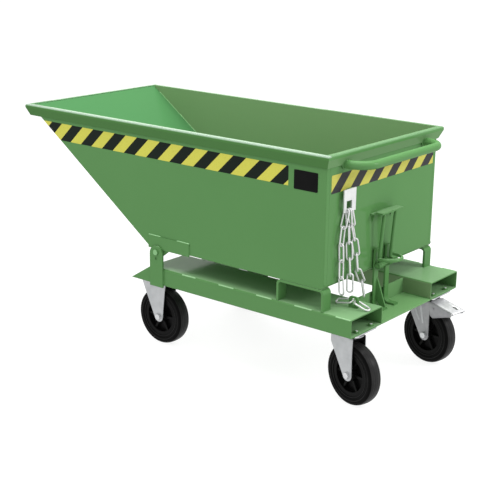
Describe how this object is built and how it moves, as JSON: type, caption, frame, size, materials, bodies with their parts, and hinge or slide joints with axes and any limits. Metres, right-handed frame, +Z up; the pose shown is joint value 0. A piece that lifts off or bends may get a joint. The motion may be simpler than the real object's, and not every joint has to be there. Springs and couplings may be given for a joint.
{
  "type": "tipping hopper",
  "caption": "Wheeled sheet-metal hopper with a sloped lip on a chassis of fork pockets, tipping forward on side pivots when its rear latch lever is let go.",
  "frame": {"origin": "on the floor under the middle of the whole part", "axes": "+X to the push handle, +Y to the side with the wheel brake, +Z up"},
  "size_m": [1.4934, 0.662, 0.787],
  "materials": {
    "green_paint": "gloss",
    "zinc_plate": "zinc plated",
    "tyre_rubber": "matt",
    "wheel_plastic": "satin"
  },
  "bodies": {
    "chassis": {"beam_near": "green_paint", "beam_far": "green_paint", "pivot_bracket_near": "green_paint", "pivot_bracket_far": "green_paint", "pivot_bolt_near": "green_paint", "pivot_bolt_far": "green_paint", "support_near": "green_paint", "support_far": "green_paint", "latch_post_near": "green_paint", "latch_post_far": "green_paint", "swivel_plate_near": "zinc_plate", "swivel_plate_far": "zinc_plate", "swivel_pin_near": "zinc_plate", "swivel_pin_far": "zinc_plate", "fixed_fork_near": "zinc_plate", "fixed_fork_far": "zinc_plate", "axle_front_near": "zinc_plate", "axle_front_far": "zinc_plate", "castor_bolts_near": "zinc_plate", "castor_bolts_far": "zinc_plate", "crossmember_rear": "green_paint", "crossmember_front": "green_paint", "latch_gusset": "green_paint", "latch_rod": "green_paint", "chain_eye": "green_paint", "chain_end_front": "zinc_plate", "chain_end_rear": "zinc_plate"},
    "hopper": {"side_panel_near": "green_paint", "side_panel_far": "green_paint", "doubler_near": "green_paint", "doubler_far": "green_paint", "pivot_lug_near": "green_paint", "pivot_lug_far": "green_paint", "trough": "green_paint", "rim": "green_paint", "push_handle": "green_paint", "catch": "green_paint", "chain_hanger": "zinc_plate"},
    "latch": {"latch_arm_near": "green_paint", "latch_arm_far": "green_paint", "latch_hook": "green_paint", "latch_loop": "green_paint"},
    "chain": {"chain_near": "zinc_plate", "chain_middle": "zinc_plate", "chain_far": "zinc_plate"},
    "swivel_near": {"swivel_fork_near": "zinc_plate", "axle_rear_near": "zinc_plate"},
    "swivel_far": {"swivel_fork_far": "zinc_plate", "axle_rear_far": "zinc_plate", "brake_rod": "zinc_plate"},
    "brake": {"brake_pedal": "zinc_plate"},
    "wheel_rear_near": {"wheel_rear_near": "wheel_plastic", "tyre_rear_near": "tyre_rubber"},
    "wheel_front_near": {"wheel_front_near": "wheel_plastic", "tyre_front_near": "tyre_rubber"},
    "wheel_rear_far": {"wheel_rear_far": "wheel_plastic", "tyre_rear_far": "tyre_rubber"},
    "wheel_front_far": {"wheel_front_far": "wheel_plastic", "tyre_front_far": "tyre_rubber"}
  },
  "joints": [
    {"name": "hopper_tip", "type": "hinge", "parent": "chassis", "child": "hopper", "pos_m": [-0.12222, 0, 0.36], "axis": [0, -1, 0], "range_deg": [0, 60]},
    {"name": "latch_lever", "type": "hinge", "parent": "chassis", "child": "latch", "pos_m": [0.57808, -0.008, 0.392], "axis": [0, 1, 0], "range_deg": [-3, 20]},
    {"name": "chain_swing", "type": "hinge", "parent": "hopper", "child": "chain", "pos_m": [0.56978, -0.215, 0.6041], "axis": [0, -1, 0], "range_deg": [0, 60]},
    {"name": "swivel_near", "type": "hinge", "parent": "chassis", "child": "swivel_near", "pos_m": [0.59728, -0.2276, 0.2335], "axis": [0, 0, 1], "continuous": true},
    {"name": "swivel_far", "type": "hinge", "parent": "chassis", "child": "swivel_far", "pos_m": [0.59728, 0.2276, 0.2335], "axis": [0, 0, 1], "continuous": true},
    {"name": "spin_rear_near", "type": "hinge", "parent": "swivel_near", "child": "wheel_rear_near", "pos_m": [0.62469, -0.23333, 0.1], "axis": [0.2045, 0.9789, 0], "continuous": true},
    {"name": "spin_front_near", "type": "hinge", "parent": "chassis", "child": "wheel_front_near", "pos_m": [-0.17772, -0.2276, 0.1], "axis": [0, 1, 0], "continuous": true},
    {"name": "spin_rear_far", "type": "hinge", "parent": "swivel_far", "child": "wheel_rear_far", "pos_m": [0.62489, 0.22293, 0.1], "axis": [0.1668, 0.986, 0], "continuous": true},
    {"name": "spin_front_far", "type": "hinge", "parent": "chassis", "child": "wheel_front_far", "pos_m": [-0.17772, 0.2276, 0.1], "axis": [0, 1, 0], "continuous": true},
    {"name": "brake_press", "type": "hinge", "parent": "swivel_far", "child": "brake", "pos_m": [0.66038, 0.21693, 0.203], "axis": [0.1668, 0.986, 0], "range_deg": [0, 8]}
  ]
}
